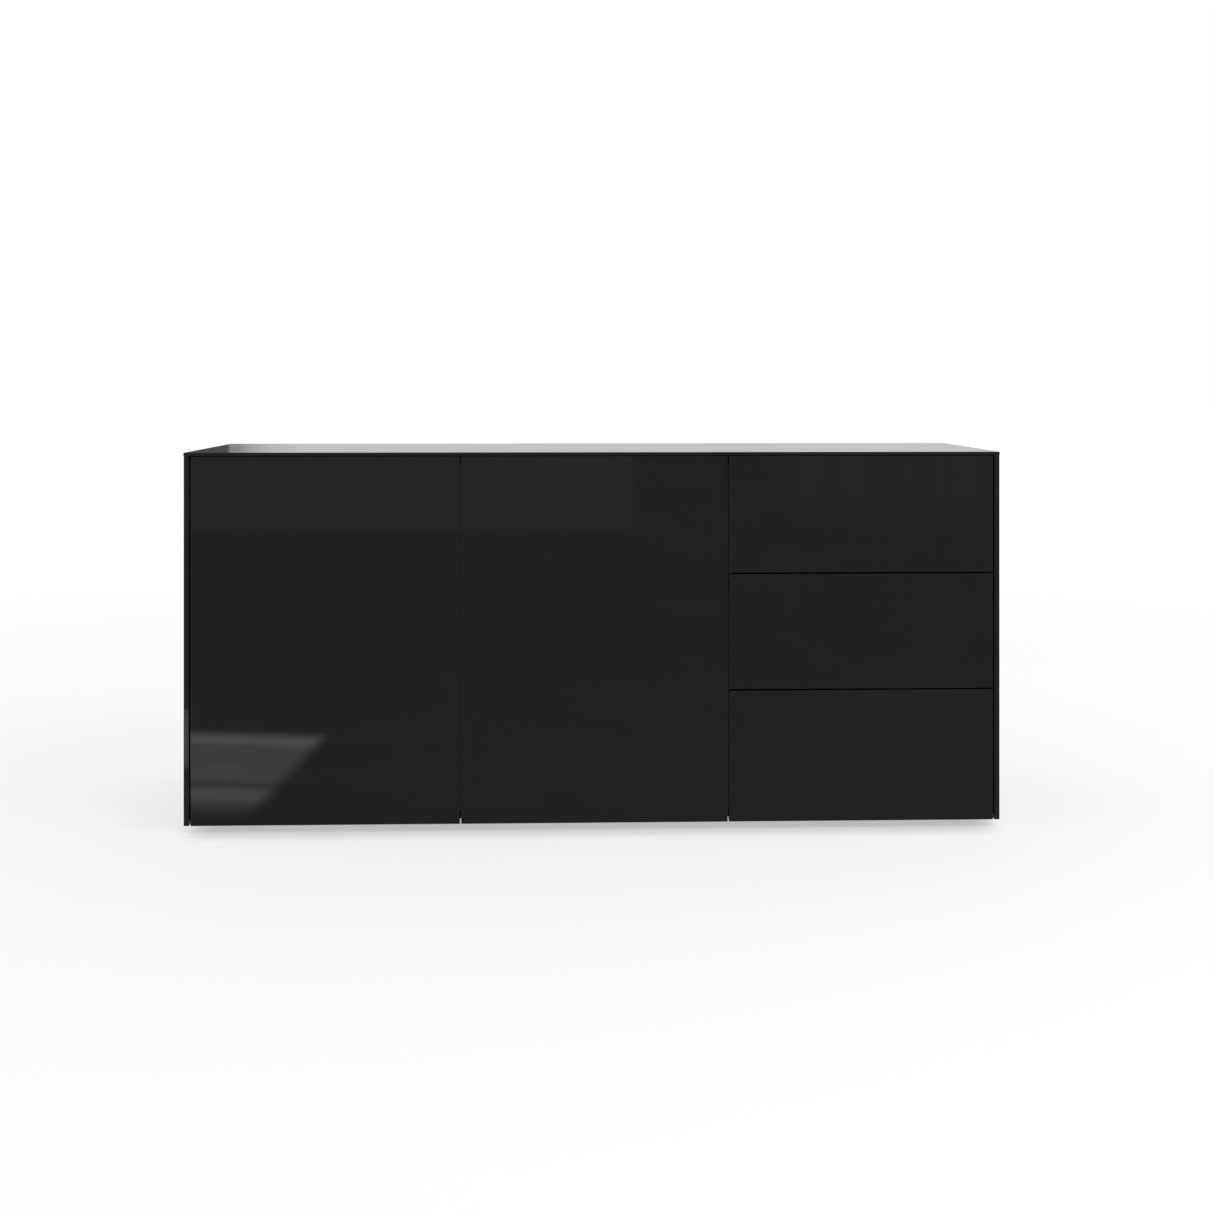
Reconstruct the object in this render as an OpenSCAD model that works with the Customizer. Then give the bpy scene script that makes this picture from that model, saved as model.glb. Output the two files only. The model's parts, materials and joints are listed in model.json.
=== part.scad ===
// Handleless sideboard with two doors and three drawers, black high gloss, glass top.
// Millimetres. Origin on the floor under the centre; fronts face -Y, drawers on the +X side.

/* [Overall] */
// Width over the glass top
width = 1600; // [1400:10:1800]
// Depth over the glass top
depth = 480; // [480:5:560]
// Height of the doors; the outer cheeks run on up to the glass
front_h = 718; // [700:1:760]
// Clear height under the doors
foot_gap = 15; // [15:1:25]

/* [Top] */
// Thickness of the glass top
glass_t = 6; // [5:1:8]
// Gap between the fronts and the glass
top_gap = 2; // [1.5:0.5:3]
// Thickness of the clear pads under the glass
pad_t = 1; // [0.5:0.5:1]
// How far the glass stands proud of the body on each side
glass_overhang = 0.5; // [0:0.5:3]

/* [Boards] */
// Thickness of the outer cheeks
cheek_t = 10; // [8:1:12]
// Thickness of the carcass boards
board_t = 16; // [16:1:19]
// Thickness of the doors and drawer fronts
front_t = 19; // [19:1:20]
// Thickness of the back panel
back_t = 8; // [5:1:8]
// Thickness of the drawer box boards
box_t = 12; // [12:1:15]
// Height of the carcass bottom above the doors' lower edge
bottom_lift = 5; // [5:1:8]

/* [Gaps] */
// Visible gap round each front
reveal = 3; // [3:0.5:4]
// Gap behind the fronts, taken up when a front is pressed
push_gap = 3; // [3:0.5:4]

/* [Drawers] */
// Height of the top drawer front
top_front_h = 229; // [220:1:235]
// Height of the middle drawer front
middle_front_h = 226; // [215:1:235]
// Height of the two upper drawer boxes
box_h = 170; // [140:1:175]
// Height of the bottom drawer box
bottom_box_h = 190; // [150:1:195]
// Length of the drawer boxes and runners
runner_l = 400; // [350:50:400]

/* [Hinges] */
// Distance of the hinge centres from the door ends
hinge_inset = 100; // [80:5:140]
// Pivot distance from the door's hinge edge
pivot_u = 8.2; // [8:0.1:8.4]
// Pivot depth behind the door's face
pivot_v = 6.2; // [6:0.1:6.4]

/* [Hidden] */
$fn = 48;

// Colours
lacquer_black = [0.03, 0.03, 0.033];
glass_black = [0.08, 0.09, 0.09];
board_black = [0.13, 0.13, 0.14];
board_edge = [0.2, 0.2, 0.21];
box_grey = [0.42, 0.42, 0.43];
zinc = [0.7, 0.71, 0.73];
nickel = [0.78, 0.77, 0.74];
plastic_grey = [0.35, 0.36, 0.37];
birch = [0.82, 0.68, 0.47];

// Planes of the body
front_y = -depth / 2 + glass_overhang;      // face of the fronts and cheeks
rear_y = depth / 2 - glass_overhang;
front_back_y = front_y + front_t;           // rear face of the fronts
carcass_y = front_back_y + push_gap;        // front edge of the carcass
cheek_x = width / 2 - glass_overhang;       // outer face of a cheek
side_x = cheek_x - cheek_t;                 // outer face of a carcass side
inner_x = side_x - board_t;                 // inner face of a carcass side
front_top = foot_gap + front_h;
glass_z = front_top + top_gap;
top_z = glass_z - pad_t - board_t;          // underside of the carcass top
bottom_z = foot_gap + bottom_lift;          // underside of the carcass bottom
floor_z = bottom_z + board_t;               // inside floor of the carcass

// Three equal columns of fronts
front_w = (2 * side_x - 4 * reveal) / 3;
pitch = front_w + reveal;
partition_x = pitch / 2;                    // centre of a partition
partition_in = partition_x - board_t / 2;
partition_out = partition_x + board_t / 2;

// Back panel in its grooves
back_recess = 10;
groove_d = 5;
groove_gap = 0.5;
back_y = rear_y - back_recess - back_t;     // front face of the back panel

// Dowels and screws of the carcass
dowel_r = 4;
dowel_in_board = 11;
dowel_in_end = 17;
dowel_ys = [carcass_y + 40, 0, back_y - 40];
upright_xs = [-side_x + board_t / 2, -partition_x, partition_x, side_x - board_t / 2];
screw_r = 2;
screw_head_r = 3.6;
screw_head_t = 1.2;
cheek_screw_l = board_t + 7;

// Shelves and the rows of holes that carry them
shelf_z = (floor_z + top_z) / 2 - board_t / 2;
shelf_play = 1;
shelf_front_y = carcass_y + 18;
shelf_rear_y = back_y - 3;
pin_hole_r = 2.5;
pin_hole_d = 7;
pin_head_r = 3.4;
pin_head_l = 8;
pin_z = shelf_z - pin_head_r;
pin_ys = [carcass_y + 50, back_y - 50];
pin_step = 32;
pin_steps = [-3:3];

// Levelling feet
foot_xs = [-side_x + 85, 0, side_x - 85];
foot_ys = [carcass_y + 60, rear_y - 60];
foot_pad_r = 16;
foot_pad_h = 7;
spindle_r = 4;
spindle_gap = 0.05;
socket_r = 8;
socket_d = 13;
socket_flange_r = 18;
socket_flange_t = 3;

// Cup hinges: u runs from the hinge edge into the door, v from the door's face inwards
hinge_zs = [foot_gap + hinge_inset, front_top - hinge_inset];
cup_u = 21.5;
cup_bore_r = 17.5;
cup_r = 17.4;
cup_wall = 1;
cup_floor_v = 4;
cup_floor_t = 0.6;
cup_lip_r = 19;
cup_lip_t = 1;
cup_lip_arm_r = 8;
cup_dowel_r = 4;
cup_dowel_z = 24;
cup_dowel_l = 9.5;
bore_clear = 0.1;
lug_in = 4.6;
lug_half = 2.8;
pin_hole_half = 9.3;
pin_half = 9;
hinge_pin_r = 1;
hinge_fit = 0.05;
barrel_r = 2;
barrel_l = 8.4;
arm_t = 2.4;
arm_reach_u = 34;
arm_w = 14;
arm_front_v = 23.2;
arm_rear_v = 88;
arm_h = 12;
plate_t = 3;
plate_v = 59;
plate_screw_z = 16;
hinge_screw_l = 11;
left_wall_u = board_t - reveal;             // carcass side, seen from the left door's edge
centre_wall_u = (board_t - reveal) / 2;     // partition, seen from the centre door's edge

// Push latches
latch_w = 16;
plunger_r = 4;
plunger_fit = 0.1;
plunger_proud = 1.7;
press_room = 2.8;                           // a front can be pressed in this far
keeper_r = 7;
keeper_t = 1;
spring_wire_r = 0.8;
spring_mean_r = 3;
spring_pitch = 1.5;
spring_play = 0.4;
spring_turns = 7;
stem_r = 1.8;
box_back_y = front_back_y + runner_l;       // rear end of the drawer boxes
drawer_tip_y = box_back_y + press_room;
latch_l = back_y - drawer_tip_y - plunger_proud;
door_tip_y = front_back_y + keeper_t + press_room;
latch_z = top_z - latch_w / 2;
latch_side_gap = 4;
left_latch_x = -partition_out - latch_side_gap - latch_w / 2;
centre_latch_x = -partition_in + latch_side_gap + latch_w / 2;
latch_end_t = 2;                            // closed end of a latch housing
spring_room = 12;                           // length kept for the spring behind the plunger
plunger_l = plunger_proud + latch_l - latch_end_t - spring_room;
stem_l = 8;

// Ball-bearing runners, profile drawn with the wall at 0
runner_h = 45;
runner_t = 12.7;
runner_wall = 1.5;
runner_gap = 1;
runner_front_gap = 1;
runner_z = 45;                              // runner centre above a box's lower edge
cabinet_lip_x = 9;
mid_web_x = 3;
mid_lip_x = 10.7;
box_lip_x = 6;
rail_screw_ys = [30, runner_l / 2, runner_l - 30];
rail_screw_l = 12;

// Drawers, listed from the top: lower edge and height of the front, height of the box
bottom_front_h = front_h - top_front_h - middle_front_h - 2 * reveal;
front_zs = [foot_gap + bottom_front_h + middle_front_h + 2 * reveal,
            foot_gap + bottom_front_h + reveal, foot_gap];
front_hs = [top_front_h, middle_front_h, bottom_front_h];
box_lift = 12;
box_zs = [front_zs[0] + box_lift, front_zs[1] + box_lift, floor_z + box_lift + 2];
box_hs = [box_h, box_h, bottom_box_h];
column_l = partition_out;                   // inside faces of the drawer column
column_r = inner_x;
box_l = column_l + runner_t;
box_r = column_r - runner_t;
base_t = 8;
base_lift = 10;
base_let_in = 5;
drawer_mid_x = (column_l + column_r) / 2;

// A block between two opposite corners
module block(low, high) {
    translate(low) cube(high - low);
}

// A cylinder that runs along +X or +Y from its place
module rod_x(r, l) {
    rotate([0, 90, 0]) cylinder(r = r, h = l);
}

module rod_y(r, l) {
    rotate([-90, 0, 0]) cylinder(r = r, h = l);
}

// ---- Top ----

module glass_top() {
    color(glass_black)
        block([-width / 2, -depth / 2, glass_z], [width / 2, depth / 2, glass_z + glass_t]);
}

module glass_pads() {
    pad_r = 6;
    pad_step = (width / 2 - 40) / 2;
    color(plastic_grey)
        for (n = [-2:2], y = [carcass_y + 30, rear_y - 30])
            translate([n * pad_step, y, glass_z - pad_t]) cylinder(r = pad_r, h = pad_t);
}

// ---- Carcass ----

// An outer cheek, which meets the glass so that no light shows between them
module cheek(side) {
    color(lacquer_black)
        block([side < 0 ? -cheek_x : side_x, front_y, foot_gap],
              [side < 0 ? -side_x : cheek_x, rear_y, glass_z]);
}

// Dowels across the joints of the uprights with the top and bottom
module dowel_set() {
    for (x = upright_xs, y = dowel_ys) {
        translate([x, y, floor_z - dowel_in_board])
            cylinder(r = dowel_r, h = dowel_in_board + dowel_in_end);
        translate([x, y, top_z - dowel_in_end])
            cylinder(r = dowel_r, h = dowel_in_board + dowel_in_end);
    }
}

// Two rows of shelf holes in a face at x, drilled along dir
module pin_holes(x, dir) {
    for (y = pin_ys, step = pin_steps)
        translate([dir < 0 ? x - pin_hole_d : x, y, pin_z + step * pin_step])
            rod_x(pin_hole_r, pin_hole_d);
}

module groove() {
    block([-inner_x - groove_d, back_y, floor_z - groove_d],
          [inner_x + groove_d, back_y + back_t, top_z + groove_d]);
}

module left_side() {
    color(board_black) difference() {
        block([-side_x, carcass_y, floor_z], [-inner_x, rear_y, top_z]);
        groove();
        dowel_set();
        pin_holes(-inner_x, -1);
    }
}

module right_side() {
    color(board_black) difference() {
        block([inner_x, carcass_y, floor_z], [side_x, rear_y, top_z]);
        groove();
        dowel_set();
    }
}

module left_partition() {
    color(board_black) difference() {
        block([-partition_out, carcass_y, floor_z], [-partition_in, back_y, top_z]);
        dowel_set();
        pin_holes(-partition_out, 1);
        pin_holes(-partition_in, -1);
    }
}

module right_partition() {
    color(board_black) difference() {
        block([partition_in, carcass_y, floor_z], [partition_out, back_y, top_z]);
        dowel_set();
        pin_holes(partition_in, 1);
    }
}

module top_panel() {
    color(board_black) difference() {
        block([-side_x, carcass_y, top_z], [side_x, rear_y, top_z + board_t]);
        groove();
        dowel_set();
    }
}

module bottom_panel() {
    color(board_black) difference() {
        block([-side_x, carcass_y, bottom_z], [side_x, rear_y, floor_z]);
        groove();
        dowel_set();
        at_feet() translate([0, 0, bottom_z]) cylinder(r = socket_r, h = socket_d);
    }
}

module back_panel() {
    let_in = groove_d - groove_gap;
    color(board_edge)
        block([-inner_x - let_in, back_y, floor_z - let_in],
              [inner_x + let_in, back_y + back_t, top_z + let_in]);
}

module shelf(x0, x1) {
    color(board_black)
        block([x0 + shelf_play, shelf_front_y, shelf_z],
              [x1 - shelf_play, shelf_rear_y, shelf_z + board_t]);
}

// A stepped pin whose thin end sits in the face at x, its head pointing along dir
module shelf_pin(x, dir) {
    for (y = pin_ys) translate([x, y, pin_z]) {
        translate([dir < 0 ? 0 : -pin_hole_d, 0, 0]) rod_x(pin_hole_r, pin_hole_d);
        translate([dir < 0 ? -pin_head_l : 0, 0, 0]) rod_x(pin_head_r, pin_head_l);
    }
}

module shelf_pins() {
    color(nickel) {
        shelf_pin(-inner_x, 1);
        shelf_pin(-partition_out, -1);
        shelf_pin(-partition_in, 1);
        shelf_pin(partition_in, -1);
    }
}

module carcass_dowels() {
    color(birch) dowel_set();
}

// Screws from inside the carcass sides into the cheeks
module cheek_screws() {
    screw_ys = [carcass_y + 100, 60];
    screw_zs = [floor_z + 40, (floor_z + top_z) / 2 + 60, top_z - 40];
    color(zinc)
        for (side = [-1, 1], y = screw_ys, z = screw_zs) {
            translate([side < 0 ? -inner_x - cheek_screw_l : inner_x, y, z])
                rod_x(screw_r, cheek_screw_l);
            translate([side < 0 ? -inner_x - screw_head_t : inner_x, y, z])
                rod_x(screw_head_r, screw_head_t);
        }
}

// ---- Levelling feet ----

module at_feet() {
    for (x = foot_xs, y = foot_ys) translate([x, y, 0]) children();
}

module foot_sockets() {
    socket_h = socket_flange_t + socket_d;
    color(plastic_grey) at_feet() translate([0, 0, bottom_z - socket_flange_t]) difference() {
        union() {
            cylinder(r = socket_flange_r, h = socket_flange_t);
            cylinder(r = socket_r, h = socket_h);
        }
        translate([0, 0, -1]) cylinder(r = spindle_r + spindle_gap, h = socket_h);
    }
}

module foot(x, y) {
    spindle_top = bottom_z + socket_d - 3;
    nut_r = 7;
    nut_h = 3;
    slope_h = 2;
    color(plastic_grey) translate([x, y, 0]) {
        cylinder(r = foot_pad_r, h = foot_pad_h - slope_h);
        translate([0, 0, foot_pad_h - slope_h])
            cylinder(r1 = foot_pad_r, r2 = nut_r, h = slope_h);
        translate([0, 0, foot_pad_h]) cylinder(r = nut_r, h = nut_h, $fn = 6);
        translate([0, 0, foot_pad_h]) cylinder(r = spindle_r, h = spindle_top - foot_pad_h);
    }
}

// ---- Hinges ----

// Places children at a door's hinges, +X into the door from its hinge edge, +Y inwards
module at_left_hinges() {
    for (z = hinge_zs) translate([-side_x + reveal, front_y, z]) children();
}

module at_centre_hinges() {
    for (z = hinge_zs) translate([front_w / 2, front_y, z]) mirror([1, 0, 0]) children();
}

module cup_bores() {
    translate([cup_u, cup_floor_v - cup_floor_t - bore_clear, 0]) rod_y(cup_bore_r, front_t);
    for (z = [-cup_dowel_z, cup_dowel_z])
        translate([cup_u, front_t - cup_dowel_l - bore_clear, z]) rod_y(cup_dowel_r, front_t);
}

// A cup with a lip, two press-in dowels and two lugs that hold the pivot pin
module hinge_cup() {
    difference() {
        union() {
            translate([cup_u, cup_floor_v - cup_floor_t, 0])
                rod_y(cup_r, front_t - cup_floor_v + cup_floor_t);
            translate([cup_u, front_t, 0]) rod_y(cup_lip_r, cup_lip_t);
            block([cup_u - cup_lip_arm_r, front_t, -cup_dowel_z],
                  [cup_u + cup_lip_arm_r, front_t + cup_lip_t, cup_dowel_z]);
            for (z = [-cup_dowel_z, cup_dowel_z]) {
                translate([cup_u, front_t, z]) rod_y(cup_lip_arm_r, cup_lip_t);
                translate([cup_u, front_t - cup_dowel_l, z]) rod_y(cup_dowel_r, cup_dowel_l);
            }
        }
        difference() {
            translate([cup_u, cup_floor_v, 0]) rod_y(cup_r - cup_wall, front_t);
            for (z = [-cup_r, lug_in])
                block([0, 0, z], [pivot_u + lug_half, pivot_v + lug_half, z + cup_r - lug_in]);
        }
        translate([pivot_u, pivot_v, -pin_hole_half])
            cylinder(r = hinge_pin_r + hinge_fit, h = 2 * pin_hole_half);
    }
}

// The fixed arm, from the barrel in the cup to the plate on the wall at wall_u
module hinge_arm(wall_u) {
    difference() {
        union() {
            translate([pivot_u, pivot_v, -barrel_l / 2]) cylinder(r = barrel_r, h = barrel_l);
            block([pivot_u, pivot_v - arm_t / 2, -barrel_l / 2],
                  [arm_reach_u, pivot_v + arm_t / 2, barrel_l / 2]);
            block([arm_reach_u - arm_t, pivot_v - arm_t / 2, -barrel_l / 2],
                  [arm_reach_u, arm_front_v + arm_t, barrel_l / 2]);
            block([wall_u + plate_t, arm_front_v, -arm_w / 2],
                  [arm_reach_u, arm_front_v + arm_t, arm_w / 2]);
            block([wall_u + plate_t, arm_front_v, -arm_w / 2],
                  [wall_u + arm_h, arm_rear_v, arm_w / 2]);
        }
        translate([pivot_u, pivot_v, -barrel_l / 2]) cylinder(r = hinge_pin_r, h = barrel_l);
    }
}

module hinge_arms() {
    color(nickel) {
        at_left_hinges() hinge_arm(left_wall_u);
        at_centre_hinges() hinge_arm(centre_wall_u);
    }
}

module hinge_plate(wall_u) {
    wing = 26;
    wing_v = 13;
    rib = 8;
    difference() {
        union() {
            block([wall_u, plate_v - wing_v, -wing], [wall_u + plate_t, plate_v + wing_v, wing]);
            block([wall_u, arm_front_v + rib, -arm_w / 2],
                  [wall_u + plate_t, arm_rear_v + 2, arm_w / 2]);
        }
        for (z = [-plate_screw_z, plate_screw_z])
            translate([wall_u, plate_v, z]) rod_x(screw_r, plate_t);
    }
}

module hinge_plates() {
    color(nickel) {
        at_left_hinges() hinge_plate(left_wall_u);
        at_centre_hinges() hinge_plate(centre_wall_u);
    }
}

module hinge_pins() {
    color(zinc) {
        at_left_hinges() translate([pivot_u, pivot_v, -pin_half])
            cylinder(r = hinge_pin_r, h = 2 * pin_half);
        at_centre_hinges() translate([pivot_u, pivot_v, -pin_half])
            cylinder(r = hinge_pin_r, h = 2 * pin_half);
    }
}

// Two wood screws and two adjusting screws on each hinge
module hinge_screw_set(wall_u) {
    for (z = [-plate_screw_z, plate_screw_z]) {
        translate([wall_u + plate_t, plate_v, z]) rod_x(screw_head_r, screw_head_t);
        translate([wall_u - hinge_screw_l, plate_v, z]) rod_x(screw_r, hinge_screw_l + plate_t);
    }
    for (v = [arm_front_v + 14, arm_rear_v - 12])
        translate([wall_u + arm_h, v, 0]) rod_x(screw_head_r, screw_head_t);
}

module hinge_screws() {
    color(zinc) {
        at_left_hinges() hinge_screw_set(left_wall_u);
        at_centre_hinges() hinge_screw_set(centre_wall_u);
    }
}

// ---- Doors ----

module left_door() {
    color(lacquer_black) difference() {
        block([-side_x + reveal, front_y, foot_gap],
              [-partition_x - reveal / 2, front_back_y, front_top]);
        at_left_hinges() cup_bores();
    }
}

module centre_door() {
    color(lacquer_black) difference() {
        block([-front_w / 2, front_y, foot_gap], [front_w / 2, front_back_y, front_top]);
        at_centre_hinges() cup_bores();
    }
}

module left_hinge_cups() {
    color(nickel) at_left_hinges() hinge_cup();
}

module centre_hinge_cups() {
    color(nickel) at_centre_hinges() hinge_cup();
}

module keeper(x) {
    color(zinc) translate([x, front_back_y, latch_z]) rod_y(keeper_r, keeper_t);
}

// ---- Push latches ----

// Places children at a latch, with the plunger's tip at the origin and +Y inwards
module at_door_latches() {
    for (x = [left_latch_x, centre_latch_x]) translate([x, door_tip_y, latch_z]) children();
}

module at_drawer_latches() {
    for (z = box_zs) translate([drawer_mid_x, drawer_tip_y, z + runner_z]) children();
}

module latch_housing() {
    difference() {
        block([-latch_w / 2, plunger_proud, -latch_w / 2],
              [latch_w / 2, plunger_proud + latch_l, latch_w / 2]);
        rod_y(plunger_r + plunger_fit, plunger_proud + latch_l - latch_end_t);
    }
}

module latch_housings() {
    color(plastic_grey) {
        at_door_latches() latch_housing();
        at_drawer_latches() latch_housing();
    }
}

// The closed coil behind the plunger's shoulder
module latch_spring() {
    translate([0, plunger_l + spring_play + spring_wire_r, 0]) rotate([-90, 0, 0])
        rotate_extrude()
            for (turn = [0:spring_turns - 1])
                translate([spring_mean_r, turn * spring_pitch])
                    circle(r = spring_wire_r, $fn = 16);
}

module latch_springs() {
    color(zinc) {
        at_door_latches() latch_spring();
        at_drawer_latches() latch_spring();
    }
}

module plunger() {
    color(plastic_grey) {
        rod_y(plunger_r, plunger_l);
        translate([0, plunger_l, 0]) rod_y(stem_r, stem_l);
    }
}

module door_plunger(x) {
    translate([x, door_tip_y, latch_z]) plunger();
}

module drawer_plunger(i) {
    translate([drawer_mid_x, drawer_tip_y, box_zs[i] + runner_z]) plunger();
}

// ---- Runners ----

// A channel profile of half height h, with its web at web_x and its lips reaching lip_x
module channel(web_x, lip_x, h) {
    inside_x = web_x + sign(lip_x - web_x) * runner_wall;
    inside_h = h - runner_wall;
    polygon([[web_x, -h], [lip_x, -h], [lip_x, -inside_h], [inside_x, -inside_h],
             [inside_x, inside_h], [lip_x, inside_h], [lip_x, h], [web_x, h]]);
}

// A rail along the whole runner length, X measured from the wall
module rail(web_x, lip_x, h) {
    translate([0, carcass_y + runner_front_gap + runner_l, 0]) rotate([90, 0, 0])
        linear_extrude(height = runner_l) channel(web_x, lip_x, h);
}

// Places children at both runners of drawer i, with +X from the wall to the drawer
module at_runners(i) {
    translate([column_l, 0, box_zs[i] + runner_z]) children();
    translate([column_r, 0, box_zs[i] + runner_z]) mirror([1, 0, 0]) children();
}

module cabinet_rails() {
    color(zinc) difference() {
        for (i = [0:2]) at_runners(i) rail(0, cabinet_lip_x, runner_h / 2);
        for (i = [0:2]) at_runners(i) at_rail_screws() rod_x(screw_r, runner_wall);
    }
}

module at_rail_screws() {
    for (y = rail_screw_ys)
        translate([0, carcass_y + runner_front_gap + y, 0]) children();
}

// Flat-headed screws through the cabinet rails into the boards
module rail_screws() {
    color(zinc) for (i = [0:2]) at_runners(i) at_rail_screws() {
        translate([-rail_screw_l, 0, 0]) rod_x(screw_r, rail_screw_l + runner_wall);
        translate([runner_wall, 0, 0]) rod_x(screw_head_r, screw_head_t);
    }
}

module middle_rails(i) {
    h = runner_h / 2 - runner_wall - runner_gap;
    color(zinc) at_runners(i) rail(mid_web_x, mid_lip_x, h);
}

module drawer_rails(i) {
    h = runner_h / 2 - 2 * (runner_wall + runner_gap);
    color(zinc) at_runners(i) rail(runner_t, box_lip_x, h);
}

// ---- Drawers ----

module drawer_front(i) {
    color(lacquer_black) difference() {
        block([pitch - front_w / 2, front_y, front_zs[i]],
              [pitch + front_w / 2, front_back_y, front_zs[i] + front_hs[i]]);
        drawer_base_board(i);
    }
}

module drawer_sides(i) {
    color(box_grey) difference() {
        for (x = [box_l, box_r - box_t])
            block([x, front_back_y, box_zs[i]],
                  [x + box_t, box_back_y, box_zs[i] + box_hs[i]]);
        drawer_base_board(i);
    }
}

module drawer_back(i) {
    color(box_grey) difference() {
        block([box_l + box_t, box_back_y - box_t, box_zs[i]],
              [box_r - box_t, box_back_y, box_zs[i] + box_hs[i]]);
        drawer_base_board(i);
    }
}

module drawer_base_board(i) {
    block([box_l + box_t - base_let_in, front_back_y - base_let_in, box_zs[i] + base_lift],
          [box_r - box_t + base_let_in, box_back_y - box_t + base_let_in,
           box_zs[i] + base_lift + base_t]);
}

module drawer_base(i) {
    color(box_grey) drawer_base_board(i);
}

// ---- Nodes ----

glass_top();
glass_pads();
cheek(-1);  // left_cheek
cheek(1);  // right_cheek
left_side();
right_side();
left_partition();
right_partition();
top_panel();
bottom_panel();
back_panel();
shelf(-inner_x, -partition_out);  // left_shelf
shelf(-partition_in, partition_in);  // centre_shelf
shelf_pins();
carcass_dowels();
cheek_screws();
foot_sockets();
foot(foot_xs[0], foot_ys[0]);  // front_left_foot
foot(foot_xs[1], foot_ys[0]);  // front_middle_foot
foot(foot_xs[2], foot_ys[0]);  // front_right_foot
foot(foot_xs[0], foot_ys[1]);  // rear_left_foot
foot(foot_xs[1], foot_ys[1]);  // rear_middle_foot
foot(foot_xs[2], foot_ys[1]);  // rear_right_foot
hinge_arms();
hinge_plates();
hinge_pins();
hinge_screws();
latch_housings();
latch_springs();
cabinet_rails();
rail_screws();
left_door();
left_hinge_cups();
keeper(left_latch_x);  // left_keeper
centre_door();
centre_hinge_cups();
keeper(centre_latch_x);  // centre_keeper
door_plunger(left_latch_x);  // left_door_plunger
door_plunger(centre_latch_x);  // centre_door_plunger
drawer_plunger(0);  // top_drawer_plunger
drawer_plunger(1);  // middle_drawer_plunger
drawer_plunger(2);  // bottom_drawer_plunger
drawer_front(0);  // top_drawer_front
drawer_sides(0);  // top_drawer_sides
drawer_back(0);  // top_drawer_back
drawer_base(0);  // top_drawer_base
drawer_rails(0);  // top_drawer_rails
middle_rails(0);  // top_drawer_mid_rails
drawer_front(1);  // middle_drawer_front
drawer_sides(1);  // middle_drawer_sides
drawer_back(1);  // middle_drawer_back
drawer_base(1);  // middle_drawer_base
drawer_rails(1);  // middle_drawer_rails
middle_rails(1);  // middle_drawer_mid_rails
drawer_front(2);  // bottom_drawer_front
drawer_sides(2);  // bottom_drawer_sides
drawer_back(2);  // bottom_drawer_back
drawer_base(2);  // bottom_drawer_base
drawer_rails(2);  // bottom_drawer_rails
middle_rails(2);  // bottom_drawer_mid_rails
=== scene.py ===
"""Looks of the handleless sideboard: finishes, edges, fittings and a plain pale studio.

Metres, in the CAD model's frame: origin on the floor under the centre, fronts towards -Y.
"""
import json
import math

import bmesh
import bpy
from mathutils import Matrix, Vector


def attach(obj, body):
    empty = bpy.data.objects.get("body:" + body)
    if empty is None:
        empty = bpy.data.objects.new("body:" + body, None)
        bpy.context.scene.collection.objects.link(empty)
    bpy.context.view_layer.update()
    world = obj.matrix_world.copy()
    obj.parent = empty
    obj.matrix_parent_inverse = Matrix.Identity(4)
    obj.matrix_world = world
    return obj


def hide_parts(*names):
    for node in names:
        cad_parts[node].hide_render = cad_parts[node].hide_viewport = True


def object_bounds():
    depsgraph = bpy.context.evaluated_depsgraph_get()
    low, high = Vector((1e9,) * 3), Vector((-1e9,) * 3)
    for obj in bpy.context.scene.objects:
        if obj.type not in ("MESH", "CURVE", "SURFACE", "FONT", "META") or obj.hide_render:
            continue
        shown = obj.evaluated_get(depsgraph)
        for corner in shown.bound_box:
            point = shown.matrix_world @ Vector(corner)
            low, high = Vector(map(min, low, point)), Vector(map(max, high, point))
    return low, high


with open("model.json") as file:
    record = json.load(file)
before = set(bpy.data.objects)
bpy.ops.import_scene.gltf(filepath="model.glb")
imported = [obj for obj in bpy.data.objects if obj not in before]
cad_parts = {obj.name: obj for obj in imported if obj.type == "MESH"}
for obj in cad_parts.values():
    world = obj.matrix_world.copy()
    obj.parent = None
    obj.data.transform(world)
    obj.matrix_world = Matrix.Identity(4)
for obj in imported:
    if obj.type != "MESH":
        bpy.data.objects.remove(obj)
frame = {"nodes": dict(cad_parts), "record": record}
cad_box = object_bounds()
scene = bpy.context.scene
MM = 0.001

# ---- Camera ----

CAMERA_PLACE = (-0.082, -3.5425, 0.8785)
CAMERA_TURN = math.radians(-1.839)
CAMERA_LENS = 50.0
CAMERA_SENSOR = 36.0
CAMERA_SHIFT = -0.1853


def add_camera():
    """A level camera in front of the sideboard, a little to the left of its centre."""
    data = bpy.data.cameras.new("camera")
    data.lens = CAMERA_LENS
    data.sensor_width = CAMERA_SENSOR
    data.shift_y = CAMERA_SHIFT
    data.clip_end = 200
    camera = bpy.data.objects.new("camera", data)
    camera.location = CAMERA_PLACE
    camera.rotation_euler = (math.radians(90), 0, CAMERA_TURN)
    scene.collection.objects.link(camera)
    scene.camera = camera


# ---- Nodes ----

def add(tree, kind, inputs=None, **settings):
    """A shader node with its settings, and its inputs as values or as other nodes' outputs."""
    made = tree.nodes.new("ShaderNode" + kind)
    for name, value in settings.items():
        setattr(made, name, value)
    for key, value in (inputs or {}).items():
        if isinstance(value, bpy.types.NodeSocket):
            tree.links.new(value, made.inputs[key])
        else:
            made.inputs[key].default_value = value
    return made


def calc(tree, operation, a, b=0.0, c=0.0):
    """The output of one Math node."""
    return add(tree, "Math", {0: a, 1: b, 2: c}, operation=operation).outputs[0]


def between(tree, value, low, high, to_low=0.0, to_high=1.0, soft=True):
    """value's range low to high, mapped to to_low to to_high."""
    kind = "SMOOTHSTEP" if soft else "LINEAR"
    return add(tree, "MapRange", {"Value": value, "From Min": low, "From Max": high,
                                  "To Min": to_low, "To Max": to_high},
               interpolation_type=kind).outputs["Result"]


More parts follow.
